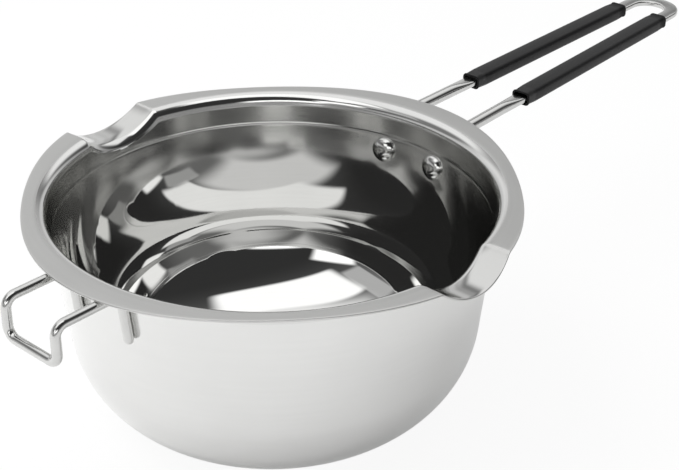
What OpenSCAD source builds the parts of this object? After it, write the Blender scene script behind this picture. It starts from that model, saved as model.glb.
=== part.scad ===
// Insert pot of a double boiler: a round steel bowl that hangs in a saucepan by its flange.
// A bent wire hook at the front catches the pan's rim, and a riveted rod handle leaves at the back.
// +X runs along the handle, the two pour spouts lie at +Y and -Y, and z = 0 is the base.

/* [Bowl] */
// Height of the flange's top face above the base
rim_z = 88; // [75:1:110]
// Mean outer radius of the flange
rim_r = 91; // [88:0.5:100]
// How far the flange's outline swells towards the handle, the hook and the spouts
swell = 2.4; // [0:0.1:3]
// Width of the flange, from the line of the wall's outer face to the mean outer edge
flange_w = 9.5; // [9:0.1:15]
// Radius of the flat base
base_r = 35; // [30:1:40]
// Outer radius of the curve between the base and the wall
corner_r = 41; // [34:1:44]
// Thickness of the drawn steel sheet
sheet = 0.8; // [0.6:0.05:1]
// Radius over the polished lip between the wall and the flange
lip_r = 3; // [2:0.1:4]

/* [Fill mark] */
// Depth of the groove's middle below the flange
mark_drop = 12; // [10:0.5:15]
// Width of the groove pressed round the inside of the wall
mark_w = 1.2; // [0.8:0.1:2]
// Depth of that groove
mark_depth = 0.25; // [0.1:0.05:0.3]

/* [Spouts] */
// Depth of each pour spout below the flange
spout_drop = 6.7; // [4:0.1:7.5]
// Radius of the spout's round trough
spout_r = 26.7; // [20:0.1:32]

/* [Handle] */
// Diameter of the handle's round rod
rod_d = 5; // [4:0.1:5.6]
// Width of the rod where it is pressed flat
flat_w = 6.2; // [5.2:0.1:7]
// Thickness of the rod where it is pressed flat
flat_t = 2.4; // [2:0.1:3]
// Depth of the rod's middle below the flange's top face
rod_drop = 7.4; // [5.5:0.1:8]
// Distance from the flange's mean edge to the middle of the hanging loop
handle_reach = 165; // [135:1:185]
// Radius of the loop along the middle of the rod
loop_r = 10.4; // [9.4:0.1:12]
// Half the distance between the middles of the two rivets
root_half = 12.4; // [11.6:0.1:14]
// Length over which the round rod is pressed flat
taper_len = 15; // [10:0.5:20]

/* [Grips] */
// Distance from the loop's end of the straight rod to the grip
grip_start = 9; // [6:0.5:14]
// Length of each grip
grip_len = 112; // [90:1:116]
// Width of each grip
grip_w = 8.5; // [8:0.1:9.5]
// Height of each grip
grip_h = 6; // [5.4:0.1:7]
// Radius of the grip's long edges
grip_edge = 2; // [1.2:0.1:2.4]
// Depth of the open mouth at each end of a grip
mouth_depth = 3; // [1:0.5:6]
// Thickness of the grip's skin round that mouth
mouth_wall = 1; // [0.8:0.05:1.3]

/* [Rivets] */
// Depth of the rivets below the flange's top face
rivet_drop = 17.8; // [16.5:0.1:20]
// Diameter of the rivet's shank
shank_d = 3.8; // [3.2:0.1:4.4]
// Diameter of the domed head inside the bowl
dome_d = 10; // [9:0.1:11]
// Height of that head
dome_h = 2.8; // [2:0.1:3.2]
// Diameter of the flat head outside
button_d = 8; // [7:0.1:9]
// Thickness of the flat head
button_h = 1.2; // [1:0.1:1.6]
// Width of the rod's flattened tab behind each rivet
tab_w = 10.4; // [9.6:0.1:11]
// Thickness of that tab
tab_t = 2.2; // [1.8:0.1:2.6]

/* [Pan hook] */
// Diameter of the hook's wire
wire_d = 3.5; // [2.8:0.1:3.8]
// Half the distance between the middles of the two arms
hook_half = 12.6; // [10:0.1:14]
// Distance from the flange's mean edge to the middle of the hook's drop
hook_reach = 17.7; // [14:0.1:24]
// Height of the drop between the middles of the arm and the cross bar
hook_drop = 14; // [10:0.5:18]
// Length of the leg that is welded to the wall
leg_len = 14; // [12:0.5:20]
// Radius of the wire's bends, along its middle
wire_bend = 4; // [3.2:0.1:4.5]
// Angle between the hook's middle and the handle's plane, as it is welded on
hook_turn = 1.7; // [0:0.1:4]

/* [Clearances] */
// Gap between pieces that lie against each other
seat_gap = 0.05; // [0.02:0.01:0.1]
// Gap round the rod inside a grip
grip_gap = 0.1; // [0.05:0.01:0.2]

/* [Hidden] */
$fn = 64;

steel = [0.78, 0.78, 0.77];
bright_steel = [0.86, 0.86, 0.85];
black_rubber = [0.07, 0.07, 0.075];

// How finely outlines and curves are drawn
outline_points = 120;
round_faces = 180;
tube_faces = 32;
curve_steps = 18;
lip_steps = 6;
edge_steps = 6;

// Cutters and overlapping pieces run on by this much
over = 1;

// Radius of the small hollow under the rod where it turns down
fillet_r = 1;

// Sharpest corner inside a moulded grip
least_r = 0.4;

// Straight wire runs this far into each bend, and the bend is this much thicker,
// as a bent rod swells a little
bite = 0.15;
bulge = 0.03;

// Outer radius of the wall, measured at the height of the flange's top face
wall_r = rim_r - flange_w;

// The wall leans outwards. Its line runs from the flange and touches the lower curve.
reach = norm([wall_r - base_r, rim_z - corner_r]);
lean = acos(corner_r / reach) - atan2(rim_z - corner_r, wall_r - base_r);

// Radius of the wall's face at height z, moved outwards by off across the sheet
function wall_at(z, off = 0) = wall_r + (z - rim_z) * tan(lean) + off / cos(lean);

// Points of an arc from angle a0 to angle a1
function arc(cx, cy, r, a0, a1, steps) =
    [for (i = [0 : steps]) let (a = a0 + (a1 - a0) * i / steps) [cx + r * cos(a), cy + r * sin(a)]];

lip_z = rim_z - lip_r;
lip_x = wall_at(lip_z, lip_r - sheet);
mark_z = rim_z - mark_drop;

// The flange's outer edge, fuller towards the handle, the hook and the spouts
function rim_at(a) = rim_r + swell * cos(4 * a);
rim_outline = [
    for (i = [0 : outline_points - 1])
        let (a = 360 * i / outline_points) [rim_at(a) * cos(a), rim_at(a) * sin(a)]
];

// One half of the sheet's section, from the base up the wall and over the lip
module bowl_section() {
    outside = concat(
        [[0, 0]],
        arc(base_r, corner_r, corner_r, -90, -lean, curve_steps),
        arc(lip_x, lip_z, lip_r - sheet, 180 - lean, 90, lip_steps),
        [[lip_x + over, rim_z - sheet]]
    );
    inside = concat(
        [[lip_x + over, rim_z]],
        arc(lip_x, lip_z, lip_r, 90, 180 - lean, lip_steps),
        [
            [wall_at(mark_z + mark_w / 2, -sheet), mark_z + mark_w / 2],
            [wall_at(mark_z, mark_depth - sheet), mark_z],
            [wall_at(mark_z - mark_w / 2, -sheet), mark_z - mark_w / 2]
        ],
        arc(base_r, corner_r, corner_r - sheet, -lean, -90, curve_steps),
        [[0, sheet]]
    );
    polygon(concat(outside, inside));
}

// A round bar along Y whose underside is the trough of the spout at the given side
module spout_bar(side, extra = 0) {
    from = side * (wall_at(rim_z - spout_drop) - lip_r - over);
    len = 2 * flange_w + swell;
    translate([0, from, rim_z + spout_r - spout_drop])
        rotate([-90 * side, 0, 0])
            cylinder(r = spout_r + extra, h = len);
}

// The pressed trough: a curved sheet from the wall to the flange's outer edge
module spout_trough(side) {
    low = rim_z - spout_drop - sheet - over;
    intersection() {
        spout_bar(side, sheet);
        difference() {
            translate([0, 0, low])
                linear_extrude(rim_z - low) polygon(rim_outline);
            translate([0, 0, low - over])
                cylinder(
                    r1 = wall_at(low - over, -sheet / 2),
                    r2 = wall_at(rim_z + over, -sheet / 2),
                    h = rim_z - low + 2 * over
                );
        }
    }
}

// The frame of a rivet: origin on the wall's outer face, +Z pointing out of the bowl
rivet_z = rim_z - rivet_drop;
rivet_r = wall_at(rivet_z);
rivet_angle = asin(root_half / rivet_r);
bore_d = shank_d + 2 * seat_gap;
module at_rivet(side) {
    rotate([0, 0, side * rivet_angle])
        translate([rivet_r, 0, rivet_z])
            rotate([0, 90 + lean, 0])
                children();
}

module bowl() {
    color(steel)
        difference() {
            union() {
                rotate_extrude($fn = round_faces) bowl_section();
                translate([0, 0, rim_z - sheet])
                    linear_extrude(sheet)
                        difference() {
                            polygon(rim_outline);
                            circle(r = lip_x, $fn = round_faces);
                        }
                for (side = [-1, 1]) spout_trough(side);
            }
            for (side = [-1, 1]) {
                spout_bar(side);
                at_rivet(side)
                    translate([0, 0, -sheet - over])
                        cylinder(d = bore_d, h = sheet + 2 * over);
            }
        }
}

// The handle's frame: the loop lies beyond the flange, and each rod runs from it towards
// its rivet, spreading a little
loop_x = rim_r + handle_reach;
rod_z = rim_z - rod_drop;
root_r = wall_at(rod_z) + seat_gap + tab_t + rod_d;
root_x = root_r * cos(rivet_angle);
root_y = root_r * sin(rivet_angle);
root_to_loop = norm([loop_x - root_x, root_y]);
spread = atan2(root_y, loop_x - root_x) - asin(loop_r / root_to_loop);
rod_len = sqrt(pow(root_to_loop, 2) - pow(loop_r, 2));
module at_rod(side) {
    translate([loop_x + loop_r * sin(spread), side * loop_r * cos(spread), rod_z])
        rotate([0, 0, side * (180 - spread)])
            children();
}

// Where each straight rod stops being flat, and where it is fully round
flat_end = grip_start + grip_len;
round_start = flat_end + taper_len;

// The section of the rod where it is pressed flat: a bar with rounded edges
module flat_section(extra = 0) {
    r = (flat_t + extra) / 2;
    half = (flat_w - flat_t) / 2;
    polygon(concat(arc(half, 0, r, -90, 90, edge_steps), arc(-half, 0, r, 90, 270, edge_steps)));
}

// Stands a flat section up so that it is swept along +X
module along_x(len) {
    rotate([90, 0, 90]) linear_extrude(len) children();
}

// A long wedge lying along +X, its half width going from a to b
module wedge(len, a, b) {
    translate([0, 0, -flat_w])
        linear_extrude(2 * flat_w)
            polygon([[0, -a], [len, -b], [len, b], [0, a]]);
}

// The rod going from pressed flat to round: a cone trimmed from above and from the side
module rod_taper() {
    big = rod_d / 2 + bulge;
    intersection() {
        rotate([0, 90, 0])
            cylinder(r1 = norm([flat_w, flat_t]) / 2 + bulge, r2 = rod_d / 2 + bulge / 2, h = taper_len);
        wedge(taper_len, (flat_w + bulge) / 2, big);
        rotate([90, 0, 0]) wedge(taper_len, (flat_t + bulge) / 2, big);
    }
}

module straight_rod() {
    translate([-bite, 0, 0]) along_x(flat_end + 2 * bite) flat_section();
    translate([flat_end, 0, 0]) rod_taper();
    translate([round_start - bite, 0, 0])
        rotate([0, 90, 0])
            cylinder(d = rod_d, h = rod_len - round_start + over);
}

// The bend at the rod's end, seen from the side: the rod turns down and becomes the tab
root_low = rod_z - rod_d / 2 - fillet_r;
module root_section() {
    half = rod_d / 2 + bulge;
    face = seat_gap + tab_t + bulge;
    corner_z = rod_z + half - rod_d;
    fillet_z = rod_z - half - fillet_r;
    polygon(concat(
        [[wall_at(root_low - over, seat_gap), root_low - over]],
        [[wall_at(root_low - over, face), root_low - over]],
        arc(wall_at(fillet_z, face) + fillet_r, fillet_z, fillet_r, 180, 90, lip_steps),
        [[root_r, rod_z - half], [root_r, rod_z + half]],
        arc(wall_at(corner_z, seat_gap + rod_d), corner_z, rod_d, 90, 180 - lean, lip_steps)
    ));
}

// That bend as a solid, as wide as the tab at the wall and as the rod at its other end
module rod_root(side) {
    near = wall_at(root_low - over) - over;
    full = wall_at(rod_z) + tab_t;
    wide = (tab_w + bulge) / 2;
    narrow = rod_d / 2 + over / 2;
    rotate([0, 0, side * rivet_angle])
        intersection() {
            rotate([90, 0, 0])
                linear_extrude(tab_w + 2 * over, center = true) root_section();
            translate([0, 0, root_low - 2 * over])
                linear_extrude(2 * rod_d + fillet_r)
                    polygon([
                        [near, -wide], [full, -wide], [root_r + over, -narrow],
                        [root_r + over, narrow], [full, wide], [near, wide]
                    ]);
        }
}

// The flat tab behind the rivet, reaching up into the bend
module tab_plate(side) {
    top = root_low - rivet_z;
    at_rivet(side)
        translate([0, 0, seat_gap + bulge / 2]) {
            cylinder(d = tab_w, h = tab_t);
            translate([-top, -tab_w / 2, 0]) cube([top, tab_w, tab_t]);
        }
}

module handle_rod() {
    color(bright_steel) {
        translate([loop_x, 0, rod_z])
            rotate([0, 0, spread - 90])
                rotate_extrude(angle = 180 - 2 * spread, $fn = round_faces)
                    translate([loop_r, 0]) flat_section(bulge);
        for (side = [-1, 1])
            difference() {
                union() {
                    at_rod(side) straight_rod();
                    rod_root(side);
                    tab_plate(side);
                }
                at_rivet(side)
                    translate([0, 0, -over])
                        cylinder(d = bore_d, h = tab_t + 2 * over);
            }
    }
}

// A rectangle with rounded corners
module rounded_box(w, h, r) {
    square([w, h - 2 * r], center = true);
    square([w - 2 * r, h], center = true);
    for (x = [-1, 1], y = [-1, 1])
        translate([x * (w / 2 - r), y * (h / 2 - r)]) circle(r = r, $fn = tube_faces);
}

module grip(side) {
    inner_r = max(grip_edge - mouth_wall, least_r);
    color(black_rubber)
        at_rod(side)
            translate([grip_start, 0, 0])
                difference() {
                    along_x(grip_len) rounded_box(grip_w, grip_h, grip_edge);
                    translate([-over, 0, 0]) along_x(grip_len + 2 * over) flat_section(2 * grip_gap);
                    for (x = [-over, grip_len - mouth_depth])
                        translate([x, 0, 0])
                            along_x(mouth_depth + over)
                                rounded_box(grip_w - 2 * mouth_wall, grip_h - 2 * mouth_wall, inner_r);
                }
}
module grip_left() { grip(1); }
module grip_right() { grip(-1); }

// A cap cut from a ball: dome_d across and dome_h high
module dome() {
    ball_r = (pow(dome_d / 2, 2) + pow(dome_h, 2)) / (2 * dome_h);
    intersection() {
        translate([0, 0, dome_h - ball_r]) sphere(r = ball_r);
        cylinder(d = dome_d + over, h = dome_h + over);
    }
}

module rivet(side) {
    head = sheet + seat_gap;
    outer = seat_gap + tab_t + seat_gap;
    sunk = over / 2;
    color(bright_steel)
        at_rivet(side) {
            translate([0, 0, -head]) mirror([0, 0, 1]) dome();
            translate([0, 0, -head - sunk]) cylinder(d = shank_d, h = head + outer + 2 * sunk);
            translate([0, 0, outer]) cylinder(d = button_d, h = button_h);
        }
}
module rivet_left() { rivet(1); }
module rivet_right() { rivet(-1); }

// Wire bending: a straight run along +X, then the children carry on from its end
module run(len) {
    translate([-bite, 0, 0])
        rotate([0, 90, 0])
            cylinder(d = wire_d, h = len + 2 * bite, $fn = tube_faces);
    translate([len, 0, 0]) children();
}

// A bend by angle a towards -Y, then the children carry on from its end
module bend(a) {
    translate([0, -wire_bend, 0]) {
        rotate([0, 0, 90 - a])
            rotate_extrude(angle = a)
                translate([wire_bend, 0]) circle(d = wire_d + bulge, $fn = tube_faces);
        rotate([0, 0, -a])
            translate([0, wire_bend, 0])
                children();
    }
}

// The drop hangs beyond the flange, the arms lie close under it, and the legs run down the wall
hook_x = rim_r + hook_reach;
arm_z = rim_z - sheet - wire_d / 2 - seat_gap;
leg_top_z = arm_z - wire_bend;
leg_end_z = leg_top_z - leg_len;

// Distance from the pot's axis to the leg's middle at height z, in the plane of one arm
function leg_x(z) = sqrt(pow(wall_at(z, wire_d / 2 + seat_gap), 2) - pow(hook_half, 2));
leg_lean = atan((leg_x(leg_top_z) - leg_x(leg_end_z)) / leg_len);
arm_start = leg_x(leg_end_z) + leg_len * sin(leg_lean) + wire_bend * (1 - sin(leg_lean));

// Half of the hook, from the welded leg's rounded end to where the cross bar starts
module hook_half_wire() {
    translate([leg_x(leg_end_z), 0, leg_end_z])
        rotate([90, 0, 0])
            rotate([0, 0, 90 - leg_lean]) {
                sphere(d = wire_d + bulge, $fn = tube_faces);
                run(leg_len)
                    bend(90 - leg_lean)
                        run(hook_x - wire_bend - arm_start)
                            bend(90)
                                run(hook_drop - 2 * wire_bend)
                                    rotate([-90, 0, 0])
                                        bend(90);
            }
}

module pan_hook() {
    bar_half = hook_half - wire_bend + bite;
    color(bright_steel)
        rotate([0, 0, 180 - hook_turn]) {
            for (side = [0, 1])
                mirror([0, side, 0])
                    translate([0, hook_half, 0])
                        hook_half_wire();
            translate([hook_x, bar_half, arm_z - hook_drop])
                rotate([90, 0, 0])
                    cylinder(d = wire_d, h = 2 * bar_half, $fn = tube_faces);
        }
}

bowl();
handle_rod();
grip_left();
grip_right();
rivet_left();
rivet_right();
pan_hook();
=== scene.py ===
"""Dresses the insert pot of a double boiler: one operator for each group of pieces and one for the stage."""

from math import acos, asin, atan2, cos, hypot, pi, radians, sin, sqrt, tan

import bmesh
import bpy
from mathutils import Matrix, Vector


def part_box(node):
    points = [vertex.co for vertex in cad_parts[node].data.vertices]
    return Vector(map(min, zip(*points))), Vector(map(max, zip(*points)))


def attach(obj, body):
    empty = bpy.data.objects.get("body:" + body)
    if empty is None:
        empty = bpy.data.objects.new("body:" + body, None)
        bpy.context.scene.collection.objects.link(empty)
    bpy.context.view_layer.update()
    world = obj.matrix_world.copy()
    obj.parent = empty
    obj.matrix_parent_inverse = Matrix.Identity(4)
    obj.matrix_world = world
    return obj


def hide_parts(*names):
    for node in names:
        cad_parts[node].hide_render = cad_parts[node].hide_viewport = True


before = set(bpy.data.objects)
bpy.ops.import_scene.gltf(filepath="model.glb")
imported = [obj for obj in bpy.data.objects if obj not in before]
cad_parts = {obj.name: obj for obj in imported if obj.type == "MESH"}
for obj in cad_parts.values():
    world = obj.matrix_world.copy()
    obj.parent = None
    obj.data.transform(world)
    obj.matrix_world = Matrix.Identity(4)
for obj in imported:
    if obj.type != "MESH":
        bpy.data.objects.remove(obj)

bl_info = {
    "name": "Double Boiler Insert Pot",
    "version": (1, 0, 0),
    "blender": (4, 5, 0),
    "location": "3D View > Sidebar > Insert Pot",
    "description": "Builds the steel bowl, rod handle, grips, rivets and pan hook, and a plain stage",
    "category": "Object",
}

MM = 0.001
UP = Vector((0, 0, 1))
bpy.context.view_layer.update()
RIM_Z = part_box("bowl")[1].z

# Points nearer than this are one point
MERGE = 0.002 * MM
# Share of a radius that is as good as all of it, but leaves a ring's edges some length
ROUND = 0.999


# Sizes and finishes that a user would change


def length(name, description, default):
    """A length property in metres whose default is written in millimetres."""
    return bpy.props.FloatProperty(
        name=name, description=description, default=default * MM, unit="LENGTH", precision=4
    )


def finish_colour(name, description, default):
    """A colour property."""
    return bpy.props.FloatVectorProperty(
        name=name, description=description, default=default, size=3, subtype="COLOR", min=0, max=1
    )


def factor(name, description, default):
    """A number between 0 and 1."""
    return bpy.props.FloatProperty(
        name=name, description=description, default=default, min=0, max=1, subtype="FACTOR"
    )


class PotSizes(bpy.types.PropertyGroup):
    """Lengths of the pot's pieces."""

    rim_z: bpy.props.FloatProperty(
        name="Rim height", description="Flange's top face above the base", default=RIM_Z, unit="LENGTH"
    )
    rim_r: length("Rim radius", "Mean outer radius of the flange", 91)
    swell: length("Rim swell", "Extra reach of the flange at handle, hook and spouts", 2.4)
    wall_r: length("Wall radius", "Outer radius of the wall at the flange's height", 81.5)
    base_r: length("Base radius", "Radius of the flat base", 35)
    corner_r: length("Corner radius", "Outer radius between base and wall", 41)
    sheet: length("Sheet", "Thickness of the drawn steel", 0.8)
    lip_r: length("Lip radius", "Radius over the lip between wall and flange", 3)
    mark_drop: length("Fill mark drop", "Depth of the fill mark below the flange", 12)
    mark_w: length("Fill mark width", "Width of the pressed fill mark", 1.2)
    mark_depth: length("Fill mark depth", "Depth of the pressed fill mark", 0.25)
    spout_drop: length("Spout drop", "Depth of each pour spout", 6.7)
    spout_r: length("Spout radius", "Radius of the spout's trough", 26.7)
    rod_d: length("Rod", "Diameter of the handle's rod", 5)
    flat_w: length("Flat width", "Width of the rod where it is pressed flat", 6.2)
    flat_t: length("Flat thickness", "Thickness of the rod where it is pressed flat", 2.4)
    rod_drop: length("Rod drop", "Depth of the rod's middle below the flange", 7.4)
    loop_x: length("Loop place", "Distance from the pot's axis to the loop's middle", 256)
    loop_r: length("Loop radius", "Radius of the loop along the rod's middle", 10.4)
    root_half: length("Rivet half spacing", "Half the distance between the rivets", 12.4)
    grip_start: length("Grip start", "Distance along the straight rod to the grip", 9)
    grip_len: length("Grip length", "Length of each grip", 112)
    grip_w: length("Grip width", "Width of each grip", 8.5)
    grip_h: length("Grip height", "Height of each grip", 6)
    grip_edge: length("Grip edge", "Radius of the grip's long edges", 2)
    taper_len: length("Taper", "Length over which the rod is pressed flat", 15)
    rivet_drop: length("Rivet drop", "Depth of the rivets below the flange", 17.8)
    dome_d: length("Rivet head", "Diameter of the domed head", 10)
    dome_h: length("Rivet head height", "Height of the domed head", 2.8)
    button_d: length("Rivet button", "Diameter of the flat head outside", 8)
    button_h: length("Rivet button height", "Thickness of the flat head outside", 1.2)
    shank_d: length("Rivet shank", "Diameter of the rivet's shank", 3.8)
    tab_w: length("Tab width", "Width of the rod's flattened end", 10.4)
    tab_t: length("Tab thickness", "Thickness of the rod's flattened end", 2.2)
    wire_d: length("Wire", "Diameter of the hook's wire", 3.5)
    hook_half: length("Hook half width", "Half the distance between the hook's arms", 12.6)
    hook_x: length("Hook reach", "Distance from the pot's axis to the hook's drop", 108.7)
    hook_drop: length("Hook drop", "Height of the hook's drop", 14)
    leg_len: length("Leg", "Length of the leg welded to the wall", 14)
    wire_bend: length("Wire bend", "Radius of the wire's bends", 4)
    hook_turn: bpy.props.FloatProperty(
        name="Hook turn", description="Hook's angle off the handle's plane", default=radians(1.7),
        unit="ROTATION"
    )
    gap: length("Seat gap", "Gap between pieces that lie against each other", 0.05)


class PotFinish(bpy.types.PropertyGroup):
    """Colours and polish of the pot's surfaces."""

    steel: finish_colour("Polished steel", "Mirror-polished sheet", (0.70, 0.70, 0.69))
    outer: finish_colour("Outside steel", "Polished outside of the wall", (0.76, 0.76, 0.75))
    satin: finish_colour("Satin steel", "Brushed flange", (0.61, 0.61, 0.60))
    wire: finish_colour("Rod steel", "Polished rod, wire and rivets", (0.64, 0.64, 0.63))
    rubber: finish_colour("Rubber", "Black rubber of the grips", (0.006, 0.006, 0.0065))
    mirror_rough: factor("Mirror roughness", "Roughness of the polished inside", 0.025)
    outer_rough: factor("Outside roughness", "Roughness of the outside", 0.16)
    spout_rough: factor("Spout roughness", "Roughness of the lip and the pour spouts", 0.1)
    satin_rough: factor("Satin roughness", "Roughness of the flange", 0.34)
    wall_wear: factor("Upper wall wear", "Extra roughness of the inside above the fill mark", 0.12)


# Shader expressions


class Value:
    """A socket that adds Math nodes when it is used in an expression."""

    def __init__(self, nodes, socket):
        self.nodes = nodes
        self.socket = socket

    def math(self, operation, *others):
        inputs = {i: v for i, v in enumerate((self, *others))}
        return self.nodes.add("ShaderNodeMath", {"operation": operation}, inputs)

    def __add__(self, other):
        return self.math("ADD", other)

    def __sub__(self, other):
        return self.math("SUBTRACT", other)

    def __rsub__(self, other):
        return self.nodes.add("ShaderNodeMath", {"operation": "SUBTRACT"}, {0: other, 1: self})

    def __mul__(self, other):
        return self.math("MULTIPLY", other)

    def __truediv__(self, other):
        return self.math("DIVIDE", other)

    __radd__ = __add__
    __rmul__ = __mul__


class Nodes:
    """Builds the node tree of a material or of the world."""

    def __init__(self, tree):
        self.tree = tree
        tree.nodes.clear()

    def add(self, kind, settings=None, inputs=None, output=0):
        """Adds a node: its settings first, then the values or links of its sockets."""
        node = self.tree.nodes.new(kind)
        for key, value in (settings or {}).items():
            setattr(node, key, value)
        for key, value in (inputs or {}).items():
            if isinstance(value, Value):
                self.tree.links.new(value.socket, node.inputs[key])
            else:
                node.inputs[key].default_value = value
        return Value(self, node.outputs[output]) if node.outputs else None

    def several(self, kind, inputs, outputs):
        """Adds a node of which several outputs are used."""
        node = self.add(kind, {}, inputs).socket.node
        return [Value(self, node.outputs[key]) for key in outputs]

    def place(self):
        """Object coordinates, in metres, in the pot's frame."""
        return self.add("ShaderNodeTexCoord", output="Object")

    def axes(self, vector):
        """The three parts of a vector."""
        return self.several("ShaderNodeSeparateXYZ", {0: vector}, range(3))

    def joined(self, x, y, z=0.0):
        """A vector of three parts."""
        return self.add("ShaderNodeCombineXYZ", {}, {0: x, 1: y, 2: z})

    def size(self, vector):
        """A vector's length."""
        return self.add("ShaderNodeVectorMath", {"operation": "LENGTH"}, {0: vector}, output="Value")

    def noise(self, vector, scale, detail=2.0, rough=0.5):
        """Soft noise between 0 and 1."""
        return self.add(
            "ShaderNodeTexNoise", {}, {"Vector": vector, "Scale": scale, "Detail": detail, "Roughness": rough}
        )

    def step(self, value, low, high):
        """0 below low, 1 above high, smooth between."""
        return self.add(
            "ShaderNodeMapRange", {"interpolation_type": "SMOOTHSTEP"}, {0: value, 1: low, 2: high}
        )

    def edge(self, value, soft):
        """1 within 1 of zero, falling to 0 over a soft edge."""
        return 1 - self.step(value.math("ABSOLUTE"), 1 - soft, 1 + soft)

    def blend(self, mask, a, b):
        """A colour between a and b."""
        return self.add("ShaderNodeMix", {"data_type": "RGBA"}, {0: mask, 6: a, 7: b}, output=2)

    def either(self, mask, a, b):
        """Shader b where the mask is 1, shader a elsewhere."""
        return self.add("ShaderNodeMixShader", {}, {0: mask, 1: a, 2: b})

    def bump(self, height, strength, distance):
        """A bumped normal."""
        return self.add(
            "ShaderNodeBump", {}, {"Height": height, "Strength": strength, "Distance": distance}
        )

    def surface(self, **inputs):
        """The Principled shader, wired to the output."""
        names = {k.replace("_", " "): v for k, v in inputs.items()}
        shader = self.add("ShaderNodeBsdfPrincipled", {}, names)
        self.add("ShaderNodeOutputMaterial", {}, {"Surface": shader})


def rgba(colour, scale=1.0):
    """A colour property as the four numbers that a socket takes."""
    return (*(c * scale for c in colour), 1.0)


def new_material(name):
    """A named material and its node builder."""
    material = bpy.data.materials.new(name)
    material.use_nodes = True
    return material, Nodes(material.node_tree)


def steel_material(name, colour, rough, streak=0.03, wave=0.0, brush=0.0, wear=(0.0, 1.0, 0.0)):
    """Polished or brushed steel, its marks running round the pot's axis.

    streak is how far the roughness varies, wave and brush are the heights of its unevenness and of
    its brush marks, and wear is the roughness that the upper wall gains: from which height, up to
    which, and how much.
    """
    material, n = new_material(name)
    place = n.place()
    x, y, z = n.axes(place)
    radius = n.size(n.joined(x, y))
    # Marks that follow circles round the axis: fine across them, long along them
    turn = n.add("ShaderNodeMath", {"operation": "ARCTAN2"}, {0: y, 1: x})
    per_radian, per_metre = 1.5, 900.0
    ring = n.joined(turn * per_radian, radius * per_metre, z * per_metre)
    lines = n.noise(ring, scale=1.0, detail=3.0, rough=0.6)
    cloud = n.noise(place, scale=22.0, detail=3.0, rough=0.55)
    smear = n.noise(place, scale=70.0)
    base = n.blend(cloud * 0.6 + lines * 0.4, rgba(colour, 0.93), rgba(colour, 1.05))
    worn_from, worn_to, worn = wear
    finish = (smear - 0.5) * streak + (lines - 0.5) * (brush * 0.5 + streak) + rough
    finish = finish + n.step(z, worn_from, worn_to) * worn
    normal = n.bump(lines * brush + cloud * wave, strength=1.0, distance=0.04 * MM)
    n.surface(Base_Color=base, Metallic=1.0, Roughness=finish, Normal=normal)
    return material


def rod_material(name, colour, rough):
    """Drawn steel rod or wire with faint lengthwise marks and small scuffs."""
    material, n = new_material(name)
    place = n.place()
    along, across = 40.0, 600.0
    stretched = n.add("ShaderNodeMapping", {}, {"Vector": place, "Scale": (along, across, across)})
    lines = n.noise(stretched, scale=1.0)
    scuff = n.noise(place, scale=160.0, detail=3.0, rough=0.6)
    base = n.blend(scuff, rgba(colour, 0.9), rgba(colour, 1.05))
    finish = (scuff - 0.5) * 0.10 + (lines - 0.5) * 0.06 + rough
    normal = n.bump(lines * 0.5 + scuff * 0.5, strength=0.6, distance=0.02 * MM)
    n.surface(Base_Color=base, Metallic=1.0, Roughness=finish, Normal=normal)
    return material


def rubber_material(name, colour):
    """Black rubber with a fine moulded grain."""
    material, n = new_material(name)
    place = n.place()
    grain = n.noise(place, scale=1500.0, detail=3.0, rough=0.6)
    patch = n.noise(place, scale=60.0, detail=3.0, rough=0.55)
    base = n.blend(patch, rgba(colour, 0.75), rgba(colour, 1.5))
    rough = 0.46
    finish = rough + (patch - 0.5) * 0.14 + (grain - 0.5) * 0.10
    normal = n.bump(grain + patch * 0.3, strength=0.5, distance=0.06 * MM)
    n.surface(Base_Color=base, Roughness=finish, Normal=normal, Specular_IOR_Level=0.3)
    return material


# The stage's floor and light

# Soft panels of the studio on a flat plan of its sky: the zenith at 0, 0, the horizon at distance 1,
# +x to the right and +y away from the camera. Each has a middle, half sizes, a turn in radians, a
# softness and a brightness, and a later one covers an earlier one
PANELS = (
    ((-0.39, -0.50), (0.14, 0.10), -0.45, 0.02, 1.60),
    ((-0.34, 0.60), (0.40, 0.13), 0.45, 0.10, 0.95),
    ((-0.46, -0.16), (0.08, 0.16), 0.29, 0.02, 0.58),
    ((0.01, 0.27), (0.42, 0.23), 0.20, 0.06, 1.10),
    ((-0.08, -0.10), (0.29, 0.13), 0.44, 0.015, 1.45),
    ((-0.10, -0.72), (0.27, 0.085), 0.0, 0.02, 2.00),
)
# Turn of the plan from the pot's frame, so that +y on it points away from the camera
PLAN_TURN = radians(46.33)
# Power of the panels' outline: at 2 they would be ovals, and this makes boxes with round corners
PANEL_POWER = 14.0

CAMERA_PLACE = (-0.36176, -0.34539, 0.34907)
CAMERA_AIM = (radians(60.684), 0, radians(-49.056))
CAMERA_LENS = 83.6

LAMP_PLACE = Vector((-0.40, 0.42, 0.90))
LAMP_AIM = Vector((0, 0, 0.05))
LAMP_SIZE = (0.9, 0.7)
LAMP_WATTS = 8.2

# The bowl mirrors itself over and over, and fewer bounces leave black wedges at its sides
MIRROR_BOUNCES = 16


def background_rays(n, seen, mirrored):
    """A share for the camera's rays and one for those that metal or glass sends on."""
    camera, glossy, clear = n.several(
        "ShaderNodeLightPath", {}, ("Is Camera Ray", "Is Glossy Ray", "Is Transmission Ray")
    )
    return (camera * seen).math("MAXIMUM", glossy.math("MAXIMUM", clear) * mirrored)


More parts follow.
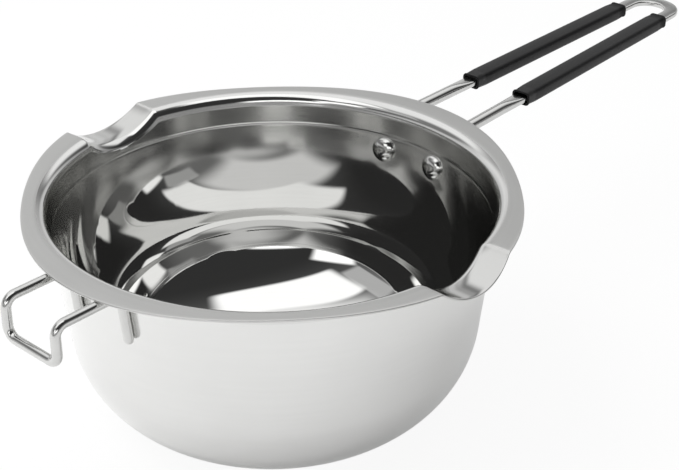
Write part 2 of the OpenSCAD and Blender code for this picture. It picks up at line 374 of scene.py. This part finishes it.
def floor_material():
    """A white floor that keeps the pot's soft shadow."""
    material, n = new_material("white_floor")
    speck = n.noise(n.place(), scale=8.0)
    pale = n.blend(speck, (0.86, 0.86, 0.86, 1), (0.88, 0.88, 0.88, 1))
    matte = n.add("ShaderNodeBsdfDiffuse", {}, {"Color": pale})
    glow = n.add("ShaderNodeEmission", {}, {"Color": (1, 1, 1, 1), "Strength": 1.0})
    both = n.either(background_rays(n, seen=0.92, mirrored=0.25), matte, glow)
    n.add("ShaderNodeOutputMaterial", {}, {"Surface": both})
    return material


def studio_world():
    """A dim room, lighter behind the pot and low down, with soft panels; the camera sees it white."""
    world = bpy.data.worlds.new("studio")
    world.use_nodes = True
    n = Nodes(world.node_tree)
    way = n.add("ShaderNodeTexCoord", output="Generated")
    way = n.add("ShaderNodeMapping", {}, {"Vector": way, "Rotation": (0, 0, PLAN_TURN)})
    x, y, z = n.axes(way)
    # A little more than 1, so that nothing is divided by zero straight below
    beyond = z + 1.001
    plan = n.joined(x / beyond, y / beyond)
    right, away, _ = n.axes(plan)
    behind = n.step(away - right * 0.6, -0.4, 0.4)
    low = n.step(n.size(plan), 0.70, 0.84)
    ceiling = behind * 0.20 + 0.04
    walls = behind * 0.38 + 0.32
    light = ceiling + (walls - ceiling) * low
    for middle, half, turn, soft, bright in PANELS:
        spot = n.add("ShaderNodeMapping", {"vector_type": "TEXTURE"}, {
            "Vector": plan, "Location": (*middle, 0), "Rotation": (0, 0, turn), "Scale": (*half, 1)
        })
        across, along, _ = n.axes(spot)
        powers = [part.math("ABSOLUTE").math("POWER", PANEL_POWER) for part in (across, along)]
        reach = (powers[0] + powers[1]).math("POWER", 1 / PANEL_POWER)
        light = light + (bright - light) * n.edge(reach, soft / half[1])
    room = n.add("ShaderNodeBackground", {}, {"Color": light, "Strength": 1.0})
    white = n.add("ShaderNodeBackground", {}, {"Color": (1, 1, 1, 1), "Strength": 1.0})
    camera = n.add("ShaderNodeLightPath", output="Is Camera Ray")
    n.add("ShaderNodeOutputWorld", {}, {"Surface": n.either(camera, room, white)})
    return world


# Modelling helpers


def lean_of(s):
    """The wall's lean from upright, along the line that touches the lower curve."""
    across, up = s.wall_r - s.base_r, s.rim_z - s.corner_r
    return acos(s.corner_r / hypot(across, up)) - atan2(up, across)


def wall_at(s, z, off=0.0):
    """Radius of the wall's outer face at height z, moved outwards by off across the sheet."""
    lean = lean_of(s)
    return s.wall_r + (z - s.rim_z) * tan(lean) + off / cos(lean)


def rod_line(s):
    """Where the left rod runs: its tab's turn round the pot, its root, the loop's middle, its slant."""
    rod_z = s.rim_z - s.rod_drop
    turn = asin(s.root_half / wall_at(s, s.rim_z - s.rivet_drop))
    root_r = wall_at(s, rod_z) + s.gap + s.tab_t + s.rod_d
    root = Vector((root_r * cos(turn), root_r * sin(turn), rod_z))
    loop = Vector((s.loop_x, 0, rod_z))
    reach = hypot(loop.x - root.x, root.y)
    slant = atan2(root.y, loop.x - root.x) - asin(s.loop_r / reach)
    return turn, root, loop, slant


def spans(start, stop, count):
    """count + 1 even steps from start to stop."""
    return [start + (stop - start) * i / count for i in range(count + 1)]


def mix(a, b, share):
    """A number that is a at share 0 and b at share 1."""
    return a + (b - a) * share


def eased(t):
    """t between 0 and 1, starting and ending gently."""
    return t * t * (3 - 2 * t)


def arc(cx, cz, radius, start, stop, count):
    """Points of an arc in the XZ plane, angles in radians."""
    return [(cx + radius * cos(a), cz + radius * sin(a)) for a in spans(start, stop, count)]


def chain(bm, points):
    """A chain of edges through (x, z) points in the XZ plane."""
    verts = [bm.verts.new((x, 0, z)) for x, z in points]
    return [bm.edges.new(pair) for pair in zip(verts, verts[1:])]


def put_piece(name, bm, materials, node):
    """Turns the bmesh into a smooth piece that stands for a CAD node."""
    bmesh.ops.remove_doubles(bm, verts=bm.verts, dist=MERGE)
    bmesh.ops.recalc_face_normals(bm, faces=bm.faces)
    mesh = bpy.data.meshes.new(name)
    bm.to_mesh(mesh)
    bm.free()
    mesh.shade_smooth()
    for material in materials:
        mesh.materials.append(material)
    piece = bpy.data.objects.new(name, mesh)
    bpy.context.scene.collection.objects.link(piece)
    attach(piece, "root")
    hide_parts(node)


def add_ring(bm, frame_matrix, width, height, edge, count):
    """One rounded rectangle of 4 * count points, drawn in the XY plane of frame_matrix."""
    made = bmesh.ops.create_circle(
        bm, segments=4 * count, radius=edge, matrix=Matrix.Rotation(pi / (4 * count), 4, "Z")
    )
    for vert in made["verts"]:
        vert.co.x += (width / 2 - edge) * (1 if vert.co.x > 0 else -1)
        vert.co.y += (height / 2 - edge) * (1 if vert.co.y > 0 else -1)
    bmesh.ops.transform(bm, matrix=frame_matrix, verts=made["verts"])
    return list({e for v in made["verts"] for e in v.link_edges})


def loft(bm, sections, count=6):
    """Bridges one ring after another, and closes the ends."""
    rings = [add_ring(bm, *section, count) for section in sections]
    for a, b in zip(rings, rings[1:]):
        bmesh.ops.bridge_loops(bm, edges=a + b)
    for ring in (rings[0], rings[-1]):
        bmesh.ops.contextual_create(bm, geom=ring)


def look_along(origin, along, up):
    """A frame at origin: its Z runs along, its Y is as near up as it can be."""
    z = Vector(along).normalized()
    x = Vector(up).cross(z).normalized()
    y = z.cross(x)
    turn = Matrix((x, y, z)).transposed()
    return Matrix.Translation(Vector(origin)) @ turn.to_4x4()


def rounded_path(corners, radius, steps):
    """Points along straight runs joined by arcs of one radius: (place, direction)."""
    path = [(corners[0], (corners[1] - corners[0]).normalized())]
    for before, corner, after in zip(corners, corners[1:], corners[2:]):
        a, b = (corner - before).normalized(), (after - corner).normalized()
        turn = a.angle(b)
        cut = radius * tan(turn / 2)
        centre = corner + (b - a).normalized() * (radius / cos(turn / 2))
        axis = a.cross(b)
        start = corner - a * cut - centre
        for t in spans(0, turn, steps):
            spin = Matrix.Rotation(t, 3, axis)
            path.append((centre + spin @ start, spin @ a))
    path.append((corners[-1], (corners[-1] - corners[-2]).normalized()))
    return path


# Operators

# Slots of the bowl's finishes
INSIDE, FLANGE, OUTSIDE, SPOUT, LIP = range(5)

# The bowl's spin in runs of an angle and a number of steps, which are finer through the spouts
HALF_SPOUT = radians(15)
HANDLE_RUN = (pi / 2 - HALF_SPOUT, 66)
SPOUT_RUN = (2 * HALF_SPOUT, 76)
HOOK_RUN = (pi - 2 * HALF_SPOUT, 120)
SPIN_RUNS = (HANDLE_RUN, SPOUT_RUN, HOOK_RUN, SPOUT_RUN, HANDLE_RUN)

# The fill mark's section: places across it in widths, and its depth there
MARK_SECTION = (
    (-1.2, 0), (-0.6, 0), (-0.45, 0.15), (-0.2, 0.85), (0, 1), (0.2, 0.85), (0.45, 0.15), (0.6, 0), (1.2, 0)
)
# The mark is faint on the polished wall, so this share of its depth shows
MARK_SHOWN = 0.35


class POT_OT_bowl(bpy.types.Operator):
    """Spin the drawn bowl, press its spouts and swell its flange"""

    bl_idname = "pot.bowl"
    bl_label = "Bowl"

    def execute(self, context):
        s, f = context.scene.pot_sizes, context.scene.pot_finish
        lip_x = wall_at(s, s.rim_z - s.lip_r, s.lip_r - s.sheet)
        mark_z = s.rim_z - s.mark_drop
        bm = bmesh.new()
        geom = chain(bm, self.section(s, lip_x, mark_z))
        for turn, steps in SPIN_RUNS:
            made = bmesh.ops.spin(bm, geom=geom, axis=(0, 0, 1), cent=(0, 0, 0), angle=turn, steps=steps)
            geom = [g for g in made["geom_last"] if isinstance(g, bmesh.types.BMEdge)]
        bmesh.ops.remove_doubles(bm, verts=bm.verts, dist=MERGE)
        bmesh.ops.dissolve_degenerate(bm, edges=bm.edges, dist=MERGE / 20)
        # Finishes go on while the sheet is still round, so that their borders stay even
        for face in bm.faces:
            face.material_index = self.finish_of(face.calc_center_median(), s, lip_x)
        for vert in bm.verts:
            self.press(vert, s, lip_x, mark_z + 2 * s.mark_w)
        # The inside dulls from 20 mm below the fill mark to just under it
        wear = (mark_z - 20 * MM, mark_z - 1 * MM, f.wall_wear)
        materials = {
            INSIDE: steel_material("polished_inside", f.steel, f.mirror_rough, streak=0.01, wear=wear),
            FLANGE: steel_material("satin_flange", f.satin, f.satin_rough, wave=0.3, brush=0.12),
            OUTSIDE: steel_material(
                "polished_outside", f.outer, f.outer_rough, streak=0.04, wave=0.6, brush=0.05
            ),
            SPOUT: steel_material("polished_spout", f.satin, f.spout_rough, wave=0.3),
            LIP: steel_material("polished_lip", f.steel, f.spout_rough),
        }
        put_piece("bowl_shell", bm, materials.values(), "bowl")
        return {"FINISHED"}

    def section(self, s, lip_x, mark_z):
        """The sheet's (x, z) section: up the inside, over the lip and the brim, down the outside."""
        lean, top, t = lean_of(s), s.rim_z, s.sheet
        lip_z = top - s.lip_r
        brim_r = 0.3 * MM
        brim_x = s.rim_r - brim_r
        low_inside, low_outside = 48 * MM, 44 * MM
        shown = s.mark_depth * MARK_SHOWN

        def wall(start, stop, count, off):
            return [(wall_at(s, z, off), z) for z in spans(start, stop, count)]

        mark = [(mark_z + s.mark_w * place, shown * depth - t) for place, depth in MARK_SECTION]
        lip = self.rolled_lip(s, lip_x, lean)
        inside = (
            [(r * MM, t) for r in (0, 8, 16, 24, 31)]
            + arc(s.base_r, s.corner_r, s.corner_r - t, -pi / 2, -lean, 32)
            + wall(low_inside, mark_z - 2 * s.mark_w, 8, -t)
            + [(wall_at(s, z, off), z) for z, off in mark]
            + wall(mark_z + 2 * s.mark_w, lip[0][1] - 0.4 * MM, 8, -t)
            + lip
            + [(x, top) for x in spans(lip[-1][0] + 0.5 * MM, brim_x, 6)]
        )
        brim = (
            arc(brim_x, top - brim_r, brim_r, pi / 2, 0, 3)
            + arc(brim_x, top - t + brim_r, brim_r, 0, -pi / 2, 3)
        )
        outside = (
            [(x, top - t) for x in spans(brim_x - 0.5 * MM, lip_x + 0.3 * MM, 5)]
            + arc(lip_x, lip_z, s.lip_r - t, pi / 2, pi - lean, 8)
            + wall(lip_z + s.lip_r * sin(lean) - 1 * MM, low_outside, 14, 0)
            + arc(s.base_r, s.corner_r, s.corner_r, -lean, -pi / 2, 32)
            + [(r * MM, 0) for r in (30, 20, 10, 0)]
        )
        return inside + brim + outside

    @staticmethod
    def rolled_lip(s, lip_x, lean):
        """Points from the wall over the lip: a tight curve, then a wide one onto the flange."""
        wide, meet = 8 * MM, radians(16)
        tight = s.lip_r * cos(lean) / (cos(lean) - sin(meet))
        drop = wide * (1 - cos(meet))
        from_wall = [
            (lip_x - tight * (sin(a) - sin(meet)), s.rim_z - drop - tight * (cos(meet) - cos(a)))
            for a in spans(pi / 2 - lean, meet, 12)
        ]
        to_flange = [
            (lip_x + wide * (sin(meet) - sin(a)), s.rim_z - wide * (1 - cos(a)))
            for a in spans(meet, 0, 5)[1:]
        ]
        return from_wall + to_flange

    @staticmethod
    def press(vert, s, lip_x, still_z):
        """Moves one point of the spun sheet to where the pressed flange and spouts put it."""
        x, y, z = vert.co
        radius = hypot(x, y)
        if radius > lip_x:
            # The outline is fuller towards the handle, the hook and the spouts
            reach = (radius - lip_x) / (s.rim_r - lip_x)
            swell = s.swell * cos(4 * atan2(y, x)) * reach
            vert.co.x += swell * x / radius
            vert.co.y += swell * y / radius
        if z <= still_z or radius < s.base_r:
            return
        # The spout is a round trough along Y, and smooth softens the crease at its edges
        across = min(abs(x), s.spout_r * ROUND)
        low = s.spout_drop - s.spout_r + sqrt(s.spout_r ** 2 - across ** 2)
        smooth = 0.12 * MM
        drop = (low + sqrt(low * low + 4 * smooth * smooth)) / 2
        # The sheet beside the handle and the hook stays where it is
        if abs(y) < s.base_r:
            drop = 0
        share = min((z - still_z) / (s.rim_z - s.lip_r - still_z), 1)
        vert.co.z -= drop * share
        if radius < lip_x + s.lip_r:
            # A lower point of the leaning wall lies nearer the axis
            lean_in = drop * share * tan(lean_of(s)) * (1 - max(0, (radius - lip_x) / s.lip_r))
            vert.co.x -= lean_in * x / radius
            vert.co.y -= lean_in * y / radius

    @staticmethod
    def finish_of(centre, s, lip_x):
        """Slot of the finish that a face of the spun sheet gets, from the face's middle."""
        radius = hypot(centre.x, centre.y)
        # Up at the rim a face is on the lip, in a spout or on the flange
        if radius > lip_x - s.lip_r * 0.9 and centre.z > s.rim_z - s.lip_r * 2:
            chord = sqrt(s.spout_r ** 2 - (s.spout_r - s.spout_drop) ** 2)
            if abs(centre.x) < chord and abs(centre.y) > s.base_r and radius > lip_x:
                return SPOUT
            return FLANGE if radius > lip_x + 0.3 * MM else LIP
        half = s.sheet / 2
        if centre.z > s.corner_r:
            inner = radius < wall_at(s, centre.z, -half)
        elif radius > s.base_r:
            inner = hypot(radius - s.base_r, centre.z - s.corner_r) < s.corner_r - half
        else:
            inner = centre.z > half
        return INSIDE if inner else OUTSIDE


class POT_OT_handle(bpy.types.Operator):
    """Bend the rod handle, press it flat and turn its ends down into tabs"""

    bl_idname = "pot.handle"
    bl_label = "Rod handle"

    def execute(self, context):
        s, f = context.scene.pot_sizes, context.scene.pot_finish
        left = self.half_sections(s)
        flip_x, flip_y = Matrix.Scale(-1, 4, (1, 0, 0)), Matrix.Scale(-1, 4, (0, 1, 0))
        right = [(flip_y @ place @ flip_x, *sizes) for place, *sizes in reversed(left)]
        bm = bmesh.new()
        loft(bm, left + right[1:])
        material = rod_material("polished_rod", f.wire, rough=0.16)
        put_piece("rod_handle", bm, [material], "handle_rod")
        return {"FINISHED"}

    @staticmethod
    def half_sections(s):
        """Sections from the left tab's end to the middle of the loop: (frame, width, height, edge)."""
        turn, root, loop, slant = rod_line(s)
        touch = loop + Vector((sin(slant), cos(slant), 0)) * s.loop_r
        along = (touch - root).normalized()
        tab_edge, round_edge, flat_edge = s.tab_t * 0.3, s.rod_d / 2 * ROUND, s.flat_t * 0.32
        # The tab's middle line lies down the wall, and the bend joins it to the level rod
        lean = lean_of(s)
        out = Vector((cos(turn), sin(turn), 0))
        tangent = Vector((-sin(turn), cos(turn), 0))
        down = (out * -sin(lean) - UP * cos(lean)).normalized()
        # A hair further off the wall than the seat's gap, as the solid's tab stands
        hair = 0.015 * MM
        mid = s.gap + s.tab_t / 2 + hair
        tip, knee = (
            out * wall_at(s, z, mid) + UP * z for z in (s.rim_z - s.rivet_drop, s.rim_z - s.rod_drop)
        )
        sections = []
        # The rounded end of the tab, from below the rivet upwards
        for a in (88, 75, 60, 45, 30, 15):
            at = tip + down * (s.tab_w / 2) * sin(radians(a))
            width = max(s.tab_w * cos(radians(a)), s.tab_t * 0.5)
            sections.append((look_along(at, -down, out), width, s.tab_t, min(width / 2, s.tab_t * 0.2)))
        sections.append((look_along(tip, -down, out), s.tab_w, s.tab_t, tab_edge))
        bend = rounded_path([tip, knee, root], radius=4.2 * MM, steps=10)[1:]
        for i, (at, way) in enumerate(bend):
            t = i / (len(bend) - 1)
            ease = eased(t)
            side = tangent.lerp(UP.cross(along).normalized(), ease)
            up = way.cross(side).normalized()
            if up.dot(out) < 0 and t < 0.5:
                up = -up
            width, height = mix(s.tab_w, s.rod_d, ease), mix(s.tab_t, s.rod_d, ease)
            sections.append((look_along(at, way, up), width, height, mix(tab_edge, round_edge, ease)))
        # The straight rod, round at first and then pressed flat
        stop = (touch - root).length
        flat_at = stop - (s.grip_start + s.grip_len)
        round_at = flat_at - s.taper_len
        places = spans(round_at * 0.25, round_at, 4)
        places += spans(round_at, flat_at, 10)[1:] + spans(flat_at, stop, 6)[1:]
        for d in places:
            ease = eased(min(max((d - round_at) / s.taper_len, 0), 1))
            width, height = mix(s.rod_d, s.flat_w, ease), mix(s.rod_d, s.flat_t, ease)
            edge = round_edge + (flat_edge - s.rod_d / 2) * ease
            sections.append((look_along(root + along * d, along, UP), width, height, edge))
        for a in spans(pi / 2 - slant, 0, 24)[1:]:
            at = loop + Vector((cos(a), sin(a), 0)) * s.loop_r
            way = Vector((sin(a), -cos(a), 0))
            sections.append((look_along(at, way, UP), s.flat_w, s.flat_t, flat_edge))
        return sections


class POT_OT_grips(bpy.types.Operator):
    """Slide the two hollow rubber grips onto the rods"""

    bl_idname = "pot.grips"
    bl_label = "Grips"

    def execute(self, context):
        s, f = context.scene.pot_sizes, context.scene.pot_finish
        material = rubber_material("black_rubber", f.rubber)
        _, _, loop, slant = rod_line(s)
        end = self.hollow_end(s)
        far = [(s.grip_len - d, *sizes) for d, *sizes in reversed(end)]
        middle = [
            (d, s.grip_w, s.grip_h, s.grip_edge) for d in spans(6 * MM, s.grip_len - 6 * MM, 12)
        ]
        for side, node in ((1, "grip_left"), (-1, "grip_right")):
            touch = loop + Vector((sin(slant), side * cos(slant), 0)) * s.loop_r
            way = Vector((-cos(slant), side * sin(slant), 0))
            sections = [
                (look_along(touch + way * (s.grip_start + d), way, UP), width, height, max(edge, 0.2 * MM))
                for d, width, height, edge in end + middle + far
            ]
            bm = bmesh.new()
            loft(bm, sections)
            put_piece(node + "_sleeve", bm, [material], node)
        return {"FINISHED"}

    @staticmethod
    def hollow_end(s):
        """Sections from the bottom of the open end out and over its rolled edge."""
        deep, thin, roll, bottom = 9 * MM, 1 * MM, 0.35 * MM, 1 * MM

        def inset(d, by):
            return (d, s.grip_w - 2 * by, s.grip_h - 2 * by, s.grip_edge - by)

        _, width, height, edge = inset(deep, thin)
        return (
            [(deep, width - bottom, height - bottom, edge), inset(deep * 0.9, thin)]
            + [inset(roll * (1 - sin(a)), thin - roll * (1 - cos(a))) for a in spans(pi / 2, 0, 4)]
            + [inset(roll * (1 - sin(a)), roll * (1 - cos(a))) for a in spans(0, pi / 2, 4)]
        )


class POT_OT_rivets(bpy.types.Operator):
    """Spin the two rivets through wall and tabs"""

    bl_idname = "pot.rivets"
    bl_label = "Rivets"

    def execute(self, context):
        s, f = context.scene.pot_sizes, context.scene.pot_finish
        material = rod_material("polished_rivet", f.wire, rough=0.1)
        rivet_z = s.rim_z - s.rivet_drop
        radius = wall_at(s, rivet_z)
        turn = asin(s.root_half / radius)
        profile = self.profile(s)
        for side, node in ((1, "rivet_left"), (-1, "rivet_right")):
            seat = Matrix.Rotation(side * turn, 4, "Z") @ Matrix.Translation((radius, 0, rivet_z))
            seat = seat @ Matrix.Rotation(pi / 2 + lean_of(s), 4, "Y")
            bm = bmesh.new()
            bmesh.ops.spin(
                bm, geom=chain(bm, profile), axis=(0, 0, 1), cent=(0, 0, 0), angle=2 * pi, steps=64,
                use_merge=True
            )
            bmesh.ops.transform(bm, matrix=seat, verts=bm.verts)
            put_piece(node + "_pin", bm, [material], node)
        return {"FINISHED"}

    @staticmethod
    def profile(s):
        """Half of a rivet's section, from the domed head to the flat one: (x, z) points."""
        head = -(s.sheet + s.gap)
        outer = s.gap + s.tab_t + s.gap
        top = outer + s.button_h
        dome, button, shank = s.dome_d / 2, s.button_d / 2, s.shank_d / 2
        skirt, soft, edge = 0.12, 0.2 * MM, 0.4 * MM
        return (
            [(dome * sin(a), head - s.dome_h * mix(skirt, 1, cos(a))) for a in spans(0, radians(86), 14)]
            + [(dome, head - soft), (dome - 0.15 * MM, head)]
            + [(shank + 0.3 * MM, head), (shank, head), (shank, outer)]
            + [(button - soft, outer), (button, outer + soft)]
            + arc(button - edge, top - edge, edge, 0, pi / 2, 4)
            + [(button * 0.5, top), (0, top)]
        )


class POT_OT_hook(bpy.types.Operator):
    """Bend the wire hook that catches the saucepan's rim"""

    bl_idname = "pot.hook"
    bl_label = "Pan hook"

    def execute(self, context):
        s, f = context.scene.pot_sizes, context.scene.pot_finish
        half_wire, step = s.wire_d / 2, 0.8 * MM
        path = rounded_path(self.corners(s), radius=s.wire_bend, steps=10)
        runs = []
        for (a, way_a), (b, way_b) in zip(path, path[1:]):
            count = max(1, round((b - a).length / step))
            for t in spans(0, 1, count)[1:]:
                runs.append((a.lerp(b, t), way_a.lerp(way_b, t).normalized(), half_wire))
        # The wire's ends are rounded
        first, way = path[0]
        last, gone = path[-1]
        start = [
            (first + way * half_wire * (-sin(a)), way, half_wire * cos(a)) for a in spans(radians(85), 0, 6)
        ]
        end = [
            (last + gone * half_wire * sin(a), gone, half_wire * cos(a)) for a in spans(0, radians(85), 6)
        ]
        # Any direction across the wire, carried along so that the rings don't twist
        up = Vector((0.1, 0.05, 1)).cross(way).normalized()
        sections = []
        for at, go, radius in start + runs[:-1] + end:
            up = (up - go * up.dot(go)).normalized()
            sections.append((look_along(at, go, up), 2 * radius, 2 * radius, radius * ROUND))
        bm = bmesh.new()
        loft(bm, sections, count=5)
        material = rod_material("polished_wire", f.wire, rough=0.14)
        put_piece("pan_hook_wire", bm, [material], "pan_hook")
        return {"FINISHED"}

    @staticmethod
    def corners(s):
        """The wire's corners from one leg's end to the other's, turned as it is welded on."""
        arm_z = s.rim_z - s.sheet - s.wire_d / 2 - s.gap
        top_z = arm_z - s.wire_bend
        end_z = top_z - s.leg_len

        def leg_x(z):
            return sqrt(wall_at(s, z, s.wire_d / 2 + s.gap) ** 2 - s.hook_half ** 2)

        slope = (leg_x(top_z) - leg_x(end_z)) / s.leg_len
        half = [
            (leg_x(end_z), end_z),
            (leg_x(end_z) + slope * (arm_z - end_z), arm_z),
            (s.hook_x, arm_z),
            (s.hook_x, arm_z - s.hook_drop),
        ]
        both = [(-x, -s.hook_half, z) for x, z in half] + [(-x, s.hook_half, z) for x, z in reversed(half)]
        weld = Matrix.Rotation(-s.hook_turn, 3, "Z")
        return [weld @ Vector(corner) for corner in both]


class POT_OT_stage(bpy.types.Operator):
    """Set up the floor, the lights and the camera"""

    bl_idname = "pot.stage"
    bl_label = "Stage"

    def execute(self, context):
        scene = context.scene
        scene.view_settings.view_transform = "Standard"
        scene.cycles.max_bounces = scene.cycles.glossy_bounces = MIRROR_BOUNCES
        camera_data = bpy.data.cameras.new("camera")
        camera_data.sensor_width = 36.0
        camera_data.lens = CAMERA_LENS
        camera_data.clip_start = 0.01
        camera = bpy.data.objects.new("camera", camera_data)
        camera.location = CAMERA_PLACE
        camera.rotation_euler = CAMERA_AIM
        scene.collection.objects.link(camera)
        scene.camera = camera

        bm = bmesh.new()
        bmesh.ops.create_circle(bm, cap_ends=True, segments=96, radius=3.0)
        mesh = bpy.data.meshes.new("floor")
        bm.to_mesh(mesh)
        bm.free()
        floor = bpy.data.objects.new("floor", mesh)
        scene.collection.objects.link(floor)
        mesh.materials.append(floor_material())
        scene.world = studio_world()

        # The lamp lights the floor and the rubber, and the steel mirrors the panels alone
        light_data = bpy.data.lights.new("softbox", "AREA")
        light_data.shape = "RECTANGLE"
        light_data.size, light_data.size_y = LAMP_SIZE
        light_data.energy = LAMP_WATTS
        lamp = bpy.data.objects.new("softbox", light_data)
        lamp.location = LAMP_PLACE
        lamp.rotation_euler = (LAMP_AIM - LAMP_PLACE).to_track_quat("-Z", "Y").to_euler()
        lamp.visible_glossy = False
        scene.collection.objects.link(lamp)
        return {"FINISHED"}


class POT_PT_panel(bpy.types.Panel):
    """Lists the pot's operators"""

    bl_idname = "POT_PT_panel"
    bl_label = "Insert Pot"
    bl_space_type = "VIEW_3D"
    bl_region_type = "UI"
    bl_category = "Insert Pot"

    def draw(self, context):
        for operator in OPERATORS:
            self.layout.operator(operator.bl_idname)


OPERATORS = (POT_OT_bowl, POT_OT_handle, POT_OT_grips, POT_OT_rivets, POT_OT_hook, POT_OT_stage)
CLASSES = (PotSizes, PotFinish, *OPERATORS, POT_PT_panel)


def register():
    for cls in CLASSES:
        bpy.utils.register_class(cls)
    bpy.types.Scene.pot_sizes = bpy.props.PointerProperty(type=PotSizes)
    bpy.types.Scene.pot_finish = bpy.props.PointerProperty(type=PotFinish)


def unregister():
    del bpy.types.Scene.pot_finish
    del bpy.types.Scene.pot_sizes
    for cls in reversed(CLASSES):
        bpy.utils.unregister_class(cls)


def main():
    register()
    bpy.ops.pot.stage()
    bpy.ops.pot.bowl()
    bpy.ops.pot.handle()
    bpy.ops.pot.grips()
    bpy.ops.pot.rivets()
    bpy.ops.pot.hook()


if __name__ == "__main__":
    main()
